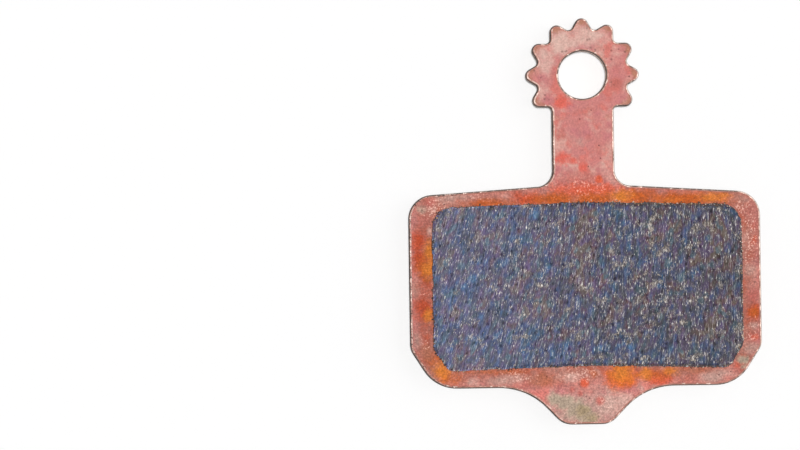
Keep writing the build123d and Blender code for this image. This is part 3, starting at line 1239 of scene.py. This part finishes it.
@dataclass
class FrictionLining:
    """The lining: a ground block with a crumbled edge, and four plugs that key it to the plate."""

    fan_x: float = 17.4
    fan_far: float = 120.0
    column_step: float = 0.066
    row_step: float = 0.1
    end_reach: float = 1.4
    end_columns: int = 26
    edge_reach: float = 0.4
    edge_rows: int = 7
    edge_drop: float = 0.13
    ragged: float = 0.09
    ragged_reach: float = 0.35
    groove_depth: float = 0.05
    cut_depth: float = 0.03
    grit_depth: float = 0.05
    pit_depth: float = 0.09
    chip_depth: float = 0.35
    wall_rows: int = 15
    wall_grain: float = 0.045
    flash: float = 0.07
    flash_height: float = 0.25
    plug_radius: float = 2.25
    plug_spacing: tuple[float, float] = (17.9, 6.65)
    plug_middle: float = -5.675
    plug_end: float = 0.45
    plug_round: float = 0.3
    plug_root: float = 0.2
    plug_rough: float = 0.3
    plug_sides: int = 72
    plug_rows: tuple[int, int, int] = (6, 7, 16)
    plug_core: float = 0.12
    chips: tuple[tuple[float, float, float], ...] = ((-7.75, 1.3, 0.26), (12.95, 0.35, 0.28))
    seed: int = 11

    def __post_init__(self) -> None:
        """Reads the block's outline and heights from the CAD node."""
        corners = node_corners(LINING_NODE)
        self.top = float(corners[:, 2].max())
        self.base = float(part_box(PLATE_NODE)[1].z / MM)
        # Corners of the upright wall, clear of the plate and of the broken top edge.
        wall = corners[(corners[:, 2] > self.base + 0.5) & (corners[:, 2] < self.top - 0.05)]
        wall = np.unique(wall[:, :2].round(5), axis=0)
        self.left, self.right = float(wall[:, 0].min()), float(wall[:, 0].max())
        middle = (wall[:, 1].min() + wall[:, 1].max()) / 2.0
        self.upper = wall[wall[:, 1] > middle]
        self.lower = wall[wall[:, 1] <= middle]
        self.relief = Relief(self.seed)
        self.edge = np.zeros((0, 3))

    def build(self) -> bpy.types.Object:
        """Makes the piece that stands for the lining.

        Returns:
            The finished, dressed piece.
        """
        work = MeshWork("ground", "grit", "pit", "rim")
        self._block(work)
        for side in (-1.0, 1.0):
            for level in (-1.0, 1.0):
                x = side * self.plug_spacing[0] / 2.0
                y = self.plug_middle + level * self.plug_spacing[1] / 2.0
                self._plug(work, x, y)
        piece = work.finish("sintered_lining")
        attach(piece, BODY)
        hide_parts(LINING_NODE)
        finish = SinteredLining(self.fan_x, self.fan_far, self.left, self.right)
        piece.data.materials.append(finish.material())
        return piece

    def _block(self, work: MeshWork) -> None:
        """Adds the block: ground face, wall and underside.

        The face is a grid: x from side to side, and y = lower(x) + (upper(x) - lower(x)) * t. The wall
        carries the face's rim down to the plate, and the underside closes it.

        Args:
            work: The mesh under way.
        """
        x = denser_ends(self.left, self.right, self.column_step, self.end_reach, self.end_columns)
        low = np.interp(x, self.lower[:, 0], self.lower[:, 1])
        high = np.interp(x, self.upper[:, 0], self.upper[:, 1])
        tall = float((high - low).max())
        t = denser_ends(0.0, 1.0, self.row_step / tall, self.edge_reach / tall, self.edge_rows)[:, None]
        y = low + (high - low) * t
        x = np.broadcast_to(x, y.shape)
        inside = np.minimum(np.minimum(x - self.left, self.right - x), np.minimum(y - low, high - y))
        depth, grit, pit, rim = self.depth(x, y, inside)
        push = np.exp(-inside / self.ragged_reach) * self.ragged
        noise = self.relief.layered
        face = np.stack(
            [
                x + push * (noise(x * 2.1 + 5.0, y * 2.1, 3) - 0.5) * 2.0,
                y + push * (noise(x * 2.1, y * 2.1 + 41.0, 3) - 0.5) * 2.0,
                self.top - depth,
            ],
            axis=-1,
        )
        numbers = work.add(face, ground=1.0, grit=grit, pit=pit, rim=rim)
        work.quads(numbers)
        rim = np.concatenate([numbers[0, :-1], numbers[:-1, -1], numbers[-1, :0:-1], numbers[:0:-1, 0]])
        edge = np.concatenate([face[0, :-1], face[:-1, -1], face[-1, :0:-1], face[:0:-1, 0]])
        self.edge = edge
        wall = self._wall(edge)
        rings = np.vstack([rim[None, :], work.add(wall)])
        work.quads(rings[::-1], closed=True)
        foot = work.add(np.array([[(self.left + self.right) / 2.0, float(y.mean()), self.base]]))
        work.fan(rings[-1][::-1], foot[0])

    def depth(self, x: Array, y: Array, inside: Array) -> tuple[Array, Array, Array, Array]:
        """Depth of the face below the top: grinding grooves, coarse grit, pits and the broken edge.

        Args:
            x: Places across, in millimetres.
            y: Places along.
            inside: Distance in from the outline.

        Returns:
            The depth, and the shares of grit, of pit and of broken rim at each place.
        """
        across = (x - self.fan_x) * (1.0 + y / self.fan_far)
        noise = self.relief
        groove = noise.layered(across * 5.5, y * 1.6, 2)
        long_cut = ease(noise.smooth(across * 7.0 + 90.0, y * 0.22), 0.78, 0.95)
        grit = ease(noise.layered(x * 1.3 + 7.0, y * 1.1 - 3.0, 3) + 0.1 * ease(inside, 0.5, 0.0), 0.58, 0.68)
        bump, _ = noise.scattered(across * 5.5, y * 2.4)
        gap, worth = noise.scattered(x * 1.9 + 50.0, y * 1.9)
        pit = ease(gap, 0.22, 0.08) * ease(worth, 0.78, 0.84)
        rim = ease(inside, 0.26, 0.0)
        chip = noise.layered(x * 3.0, y * 3.0 + 77.0, 2)
        depth = self.groove_depth * groove + self.cut_depth * long_cut
        depth = depth + (0.2 + grit) * self.grit_depth * np.minimum(bump, 1.0)
        depth = depth + self.pit_depth * pit + rim * (self.edge_drop * (0.5 + chip))
        for middle_x, middle_y, reach in self.chips:
            gone = ease(np.hypot(x - middle_x, y - middle_y), reach, reach * 0.4)
            depth = depth + self.chip_depth * gone
            pit = np.maximum(pit, gone)
        return depth, grit, pit, ease(inside, 0.24, 0.04)

    def _wall(self, edge: Array) -> Array:
        """The wall: the rim's points carried down, pushed in and out by grains, flared at the plate.

        Args:
            edge: The rim's points, anticlockwise from above.

        Returns:
            An array (rows, points, 3) from just under the rim to the plate.
        """
        along = np.roll(edge[:, :2], -1, axis=0) - np.roll(edge[:, :2], 1, axis=0)
        outward = np.stack([along[:, 1], -along[:, 0]], axis=-1)
        outward = outward / np.linalg.norm(outward, axis=-1, keepdims=True)
        share = (np.arange(1, self.wall_rows + 1) / self.wall_rows)[:, None]
        z = edge[:, 2] + (self.base - edge[:, 2]) * share
        x, y = np.broadcast_to(edge[:, 0], z.shape), np.broadcast_to(edge[:, 1], z.shape)
        grains = self.relief.layered(x * 4.0 + z * 2.7, y * 4.0 - z * 3.1, 3) - 0.5
        near_plate = ease(z, self.base + self.flash_height, self.base)
        flare = near_plate * self.relief.layered(x * 1.3 + 31.0, y * 1.3, 2)
        push = self.wall_grain * 2.0 * grains * ease(share, 0.0, 0.15) + self.flash * flare
        return np.stack([x + outward[:, 0] * push, y + outward[:, 1] * push, z], axis=-1)

    def _plug(self, work: MeshWork, x: float, y: float) -> None:
        """Adds one plug: a lathed profile from inside the block to its rough end.

        The profile goes down the plug's side, round its end and in to its middle, and each ring is
        pushed about by noise on the end.

        Args:
            work: The mesh under way.
            x: Middle of the plug across.
            y: Middle of the plug along.
        """
        angle = np.linspace(0.0, 2.0 * math.pi, self.plug_sides, endpoint=False)
        top = self.base + self.plug_root
        corner = self.plug_radius - self.plug_round
        side_rows, bend_rows, inner_rows = self.plug_rows
        side = np.linspace(top, self.plug_end + self.plug_round, side_rows)
        bend = np.linspace(0.0, math.pi / 2.0, bend_rows)[1:]
        inner = np.linspace(corner, self.plug_core, inner_rows)[1:]
        straight = np.full(side.shape, self.plug_radius)
        radius = np.concatenate([straight, corner + self.plug_round * np.cos(bend), inner])
        rounded = self.plug_end + self.plug_round * (1.0 - np.sin(bend))
        height = np.concatenate([side, rounded, np.full(inner.shape, self.plug_end)])
        px = x + radius[:, None] * np.cos(angle)
        py = y + radius[:, None] * np.sin(angle)
        rough = self.relief.layered(px * 2.2, py * 2.2, 4)
        end = ease(radius, self.plug_radius, corner)[:, None]
        pz = height[:, None] + end * self.plug_rough * ease(rough, 0.35, 0.75)
        rings = work.add(np.stack([px, py, pz], axis=-1))
        work.quads(rings[::-1], closed=True)
        cap = work.add(np.array([[x, y, top], [x, y, float(pz[-1].mean())]]))
        work.fan(rings[0], cap[0])
        work.fan(rings[-1][::-1], cap[1])


@dataclass(frozen=True)
class CrumbFinish:
    """Grains of sinter and scale, from soot-dark through brassy to pale."""

    dark: Colour = srgb(66, 54, 50)
    brown: Colour = srgb(104, 80, 66)
    brass: Colour = srgb(168, 140, 112)
    pale: Colour = srgb(230, 212, 200)

    def material(self) -> bpy.types.Material:
        """Makes the material.

        Returns:
            The material, which colours each crumb by its shade mark: its own tone, made paler by painted
            light on crumbs that face the light.
        """
        material, sheet = material_of("crumb_finish")
        place = sheet.place()
        shade = sheet.mark("shade")
        fine = sheet.noise(place, 9.0, 3.0, 0.6)
        stops = [(0.15, self.dark), (0.4, self.brown), (0.6, self.brass), (0.85, self.pale)]
        colour = sheet.ramp(shade + fine * 0.3 - 0.15, stops)
        close_material(sheet, Skin(colour, fine * 0.3 + 0.45, 0.15, fine * 0.02), 0.3)
        return material


@dataclass
class EdgeCrumbs:
    """Grains that broke out along the lining's edge and stuck there, half sunk."""

    count: int = 1200
    small: float = 0.02
    large: float = 0.09
    inner: float = 0.2
    outer: float = 0.2
    rows: int = 4
    columns: int = 6
    stretch: tuple[float, float] = (0.7, 1.3)
    lump: tuple[float, float] = (0.75, 1.15)
    pole: float = 0.9
    path_step: float = 0.05
    under_top: float = 0.004
    light: tuple[float, float] = (1.0, 0.1)
    own_shade: float = 0.8
    light_shade: float = 0.28
    seed: int = 23

    def build(self, lining: FrictionLining) -> bpy.types.Object:
        """Makes the crumbs.

        Each is a ball of a few rings, at angle u round it and v up it: middle + size * stretch *
        (cos v cos u, cos v sin u, sin v), with every corner pushed in or out at random.

        Args:
            lining: The built lining, whose rim they follow.

        Returns:
            The dressed piece.
        """
        draw = np.random.default_rng(self.seed)
        middle, outward = self._places(lining, draw)
        size = self.small + (self.large - self.small) * draw.random((self.count, 1, 1, 1)) ** 2
        stretch = draw.uniform(*self.stretch, (self.count, 1, 1, 3))
        lump = draw.uniform(*self.lump, (self.count, self.rows, self.columns, 1))
        up = np.linspace(-math.pi / 2.0, math.pi / 2.0, self.rows + 2)[1:-1, None]
        turn = np.linspace(0.0, 2.0 * math.pi, self.columns, endpoint=False)
        flat = np.cos(up)
        ball = np.stack([flat * np.cos(turn), flat * np.sin(turn), np.sin(up) + 0.0 * turn], axis=-1)
        rings = middle[:, None, None, :] + size * stretch * lump * ball
        pole = (size * stretch)[:, 0, 0, 2:] * np.array([0.0, 0.0, self.pole])
        # Painted light: crumbs on edges that face `light` are made paler.
        lit = outward @ np.array(self.light)
        shade = np.clip(draw.random(self.count) * self.own_shade + lit * self.light_shade, 0.0, 1.0)
        ceiling = np.array([np.inf, np.inf, lining.top - self.under_top])
        work = MeshWork("shade")
        numbers = work.add(np.minimum(rings, ceiling), shade=shade[:, None, None])
        low = work.add(middle - pole, shade=shade)
        high = work.add(np.minimum(middle + pole, ceiling), shade=shade)
        work.quads(numbers, closed=True)
        work.fan(numbers[:, 0, ::-1], low)
        work.fan(numbers[:, -1], high)
        piece = work.finish("sinter_crumbs")
        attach(piece, BODY)
        piece.data.materials.append(CrumbFinish().material())
        return piece

    def _places(self, lining: FrictionLining, draw: np.random.Generator) -> tuple[Array, Array]:
        """Middles of the crumbs: on the face just inside the rim, or on the plate beside the wall.

        Args:
            lining: The built lining.
            draw: The random numbers.

        Returns:
            The middles, and the direction out of the lining at each.
        """
        path, left = even_loop(lining.edge[:, :2], self.path_step)
        spot = draw.integers(0, len(path), self.count)
        outward = -left[spot]
        spread = draw.random(self.count) + draw.random(self.count) - 1.0
        inside = np.where(spread > 0.0, spread * self.inner, spread * self.outer)
        flat = path[spot] - outward * inside[:, None]
        depth = lining.depth(flat[:, 0], flat[:, 1], np.maximum(inside, 0.0))[0]
        height = np.where(inside > 0.0, lining.top - depth, lining.base)
        return np.column_stack([flat, height]), outward


def face_loops(node: str, height: float) -> list[Array]:
    """Outlines of a node's flat face.

    Triangles of the face share their inner edges in pairs, each way round once. An edge that has no
    such partner lies on an outline, and the outlines are walked from edge to edge.

    Args:
        node: The node's name.
        height: Height of the face in millimetres.

    Returns:
        Closed outlines, arrays (n, 2) in millimetres, each with the face on its left.
    """
    loops = frame["nodes"][node].data.loops
    order = np.empty(len(loops), dtype=int)
    loops.foreach_get("vertex_index", order)
    triangles = node_corners(node)[order].reshape(-1, 3, 3)
    flat = triangles[np.all(np.abs(triangles[..., 2] - height) < 1e-3, axis=1)][..., :2]
    points, numbers = np.unique(flat.reshape(-1, 2).round(4), axis=0, return_inverse=True)
    numbers = numbers.reshape(-1, 3)
    starts, ends = numbers.reshape(-1), np.roll(numbers, -1, axis=1).reshape(-1)
    lone = ~np.isin(starts * len(points) + ends, ends * len(points) + starts)
    follow = dict(zip(starts[lone].tolist(), ends[lone].tolist()))
    outlines = []
    while follow:
        walk = [next(iter(follow))]
        while walk[-1] in follow:
            walk.append(follow.pop(walk[-1]))
        outlines.append(points[walk[:-1]])
    return outlines


def even_loop(outline: Array, step: float) -> tuple[Array, Array]:
    """Points spaced evenly along a closed outline.

    Args:
        outline: The outline's corners, an array (n, 2).
        step: Wanted spacing.

    Returns:
        The points, and at each the direction to the left of the path, worked out from its neighbours.
    """
    closed = np.vstack([outline, outline[:1]])
    run = np.concatenate([[0.0], np.cumsum(np.linalg.norm(np.diff(closed, axis=0), axis=1))])
    places = np.linspace(0.0, run[-1], int(run[-1] / step), endpoint=False)
    points = np.stack([np.interp(places, run, closed[:, axis]) for axis in (0, 1)], axis=-1)
    along = np.roll(points, -1, axis=0) - np.roll(points, 1, axis=0)
    along = along / np.linalg.norm(along, axis=1, keepdims=True)
    return points, np.stack([-along[:, 1], along[:, 0]], axis=-1)


@dataclass
class BackingPlate:
    """The blanked plate: its solid stays and gets its finishes, and a thin burr lines its front edge."""

    burr_step: float = 0.07
    burr_half: float = 0.09
    # How much wider the burr is where the edge faces the painted light.
    burr_lit_widening: float = 0.025
    burr_clear: float = 0.06
    # Direction from which the painted light on the burr comes.
    painted_light_from: tuple[float, float] = (0.98, 0.2)
    burr_low: float = 0.015
    burr_high: float = 0.06
    burr_sink: float = 0.05
    burr_sides: int = 12
    burr_sway: float = 0.03
    wall_clear: float = 0.01
    # Painted light given also to edges that face away from it.
    away_side_light: float = 0.25
    # Share of painted light on the pin hole's burr.
    hole_light_share: float = 0.4
    seed: int = 5

    def dress(self) -> bpy.types.Object:
        """Puts the finish on the CAD node.

        Returns:
            The node's object.
        """
        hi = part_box(PLATE_NODE)[1]
        lining_lo, lining_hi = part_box(LINING_NODE)
        pin_hole = mount_place(PIN_MOUNT)
        copper = CopperFlash(
            lining_lo=(lining_lo.x / MM, lining_lo.y / MM),
            lining_hi=(lining_hi.x / MM, lining_hi.y / MM),
            eye=(pin_hole[0], pin_hole[1], hi.z / MM),
            eye_tip=hi.y / MM - pin_hole[1],
        )
        node = frame["nodes"][PLATE_NODE]
        node.data.materials.clear()
        node.data.materials.append(PlateFinish(hi.z / MM, copper, ShearedWall(pin_hole)).material())
        return node

    def burr(self) -> bpy.types.Object:
        """Makes the burr that blanking leaves along the outline and round the pin hole.

        Returns:
            The dressed piece.
        """
        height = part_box(PLATE_NODE)[1].z / MM
        lining_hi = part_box(LINING_NODE)[1]
        work = MeshWork("across", "rubbed")
        for outline in face_loops(PLATE_NODE, height):
            # The keying holes lie under the lining, so only the outline and the pin hole have a burr.
            if outline[:, 1].max() > lining_hi.y / MM:
                # The pin hole's burr gets less painted light than the outline's.
                light_share = 1.0 if outline[:, 0].max() > lining_hi.x / MM else self.hole_light_share
                ridge, across, rubbed = self._ridge(outline, height)
                rings = work.add(ridge, across=across, rubbed=rubbed * light_share)
                work.quads(np.vstack([rings, rings[:1]]), closed=True)
        piece = work.finish("edge_burr")
        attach(piece, BODY)
        piece.data.materials.append(DeburredEdge().material())
        return piece

    def _ridge(self, outline: Array, height: float) -> tuple[Array, Array, Array]:
        """The burr's surface: a flattened oval carried along the outline, mostly sunk in the plate.

        At angle a the oval's point lies half * cos(a) in from the oval's middle, and above the face by
        rise * sin(a) on its upper side, where the rise swells and fades along the path. The oval is wider
        where the edge faces the painted light's direction.

        Args:
            outline: The front face's outline.
            height: The front face's height.

        Returns:
            An array (path points, oval points, 3); at each point cos(a), and how much painted light it gets:
            facing * cos(a), and some more along edges that face away.
        """
        points, inward = even_loop(outline, self.burr_step)
        noise = Relief(self.seed)
        swell = noise.layered(points[:, 0] * 0.9, points[:, 1] * 0.9, 3)
        nick = ease(noise.smooth(points[:, 0] * 3.1, points[:, 1] * 3.1 + 60.0), 0.2, 0.35)
        rise = self.burr_low + (self.burr_high - self.burr_low) * ease(swell, 0.3, 0.7) * nick
        sway = (noise.layered(points[:, 0] * 2.0 + 20.0, points[:, 1] * 2.0, 2) - 0.5) * self.burr_sway
        angle = np.linspace(0.0, 2.0 * math.pi, self.burr_sides, endpoint=False)
        # How squarely each edge faces the painted light.
        facing = inward @ np.array(self.painted_light_from)
        half = (self.burr_half + self.burr_lit_widening * np.maximum(facing, 0.0))[:, None]
        reach = half - self.burr_clear + half * np.cos(angle)
        across = np.maximum(sway[:, None] + reach, self.wall_clear - EDGE_BREAK)
        upper = np.maximum(np.sin(angle), 0.0) * (rise[:, None] + self.burr_sink * 0.5)
        lower = np.minimum(np.sin(angle), 0.0) * self.burr_sink
        z = height - self.burr_sink * 0.5 + upper + lower
        x = points[:, :1] + inward[:, :1] * across
        y = points[:, 1:] + inward[:, 1:] * across
        turned = np.broadcast_to(np.cos(angle), z.shape)
        # The painted light on each point of the burr, handed to its material.
        rubbed = np.outer(facing, np.cos(angle)) - self.away_side_light * np.minimum(facing, 0.0)[:, None]
        return np.stack([x, y, z], axis=-1), turned, rubbed


@dataclass
class Lamp:
    """A soft lamp far away: where it stands, how wide it looks and its share of the light on the floor."""

    name: str
    azimuth: float
    elevation: float
    width: float
    share: float

    def place(self) -> None:
        """Adds the lamp; its strength is share * pi / sin(elevation)."""
        light = bpy.data.lights.new(self.name, "SUN")
        light.angle = math.radians(self.width)
        light.energy = self.share * math.pi / math.sin(math.radians(self.elevation))
        lamp = bpy.data.objects.new(self.name, light)
        lamp.rotation_euler = (math.radians(90.0 - self.elevation), 0.0, math.radians(self.azimuth + 90.0))
        bpy.context.scene.collection.objects.link(lamp)


@dataclass
class Studio:
    """The pale floor, the lamps, the sky and the camera."""

    sky: float = 0.12
    floor_colour: Colour = (1.0, 1.0, 1.0)
    floor_half: float = 4000.0
    image_size: tuple[int, int] = (800, 450)
    pin_pixel: tuple[float, float] = (582.06, 74.91)
    pixels_per_mm: float = 11.93
    pad_turn: float = 0.84
    distance: float = 340.0
    sensor: float = 36.0
    clip_start: float = 10.0

    def build(self) -> None:
        """Sets up everything around the object."""
        bpy.context.scene.view_settings.view_transform = "Standard"
        self._floor()
        self._sky()
        Lamp("key_lamp", azimuth=100.0, elevation=89.0, width=5.0, share=0.83).place()
        Lamp("side_lamp", azimuth=10.0, elevation=45.0, width=50.0, share=0.05).place()
        self._camera()

    def _floor(self) -> None:
        """Adds the floor that the pad lies on."""
        half = self.floor_half * MM
        mesh = bpy.data.meshes.new("floor")
        corners = [(-half, -half, 0.0), (half, -half, 0.0), (half, half, 0.0), (-half, half, 0.0)]
        mesh.from_pydata(corners, [], [(0, 1, 2, 3)])
        floor = bpy.data.objects.new("floor", mesh)
        bpy.context.scene.collection.objects.link(floor)
        material, sheet = material_of("floor_card")
        values = {"Base Color": self.floor_colour, "Roughness": 0.9, "Specular IOR Level": 0.1}
        shader = sheet.node("ShaderNodeBsdfPrincipled", None, values)
        sheet.node("ShaderNodeOutputMaterial", None, {"Surface": shader})
        mesh.materials.append(material)

    def _sky(self) -> None:
        """Lights from all round at a plain level; seen straight or in a reflection it is white."""
        world = bpy.data.worlds.new("sky")
        world.use_nodes = True
        bpy.context.scene.world = world
        sheet = Sheet(world.node_tree)
        kinds = ("Is Camera Ray", "Is Glossy Ray", "Is Transmission Ray")
        seen: Value = 0.0
        for kind in kinds:
            seen = sheet.node("ShaderNodeLightPath", output=kind) | seen
        values = {"Color": (1.0, 1.0, 1.0), "Strength": seen * (1.0 - self.sky) + self.sky}
        shader = sheet.node("ShaderNodeBackground", None, values)
        sheet.node("ShaderNodeOutputWorld", None, {"Surface": shader})

    def _camera(self) -> None:
        """Looks straight down, with the pad where the picture has it.

        The picture's middle, taken from the pin hole's pixel, is turned into the pad's own frame.
        """
        turn = math.radians(self.pad_turn)
        right = (self.image_size[0] / 2.0 - self.pin_pixel[0]) / self.pixels_per_mm
        up = (self.pin_pixel[1] - self.image_size[1] / 2.0) / self.pixels_per_mm
        x = right * math.cos(turn) + up * math.sin(turn)
        y = -right * math.sin(turn) + up * math.cos(turn) + mount_place(PIN_MOUNT)[1]
        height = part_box(PLATE_NODE)[1].z / MM + self.distance
        data = bpy.data.cameras.new("camera")
        data.sensor_width = self.sensor
        data.lens = self.sensor * self.distance * self.pixels_per_mm / self.image_size[0]
        data.clip_start = self.clip_start * MM
        camera = bpy.data.objects.new("camera", data)
        camera.location = (x * MM, y * MM, height * MM)
        camera.rotation_euler = (0.0, 0.0, -turn)
        bpy.context.scene.collection.objects.link(camera)
        bpy.context.scene.camera = camera


def main() -> None:
    """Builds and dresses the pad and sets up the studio."""
    logging.basicConfig(level=logging.INFO, format="%(name)s: %(message)s")
    plate = BackingPlate()
    node = plate.dress()
    log.info("dressed %s, %d faces", node.name, len(node.data.polygons))
    lining = FrictionLining()
    for piece in (plate.burr(), lining.build(), EdgeCrumbs().build(lining)):
        log.info("built %s, %d faces", piece.name, len(piece.data.polygons))
    Studio().build()
    log.info("studio ready")


if __name__ == "__main__":
    main()
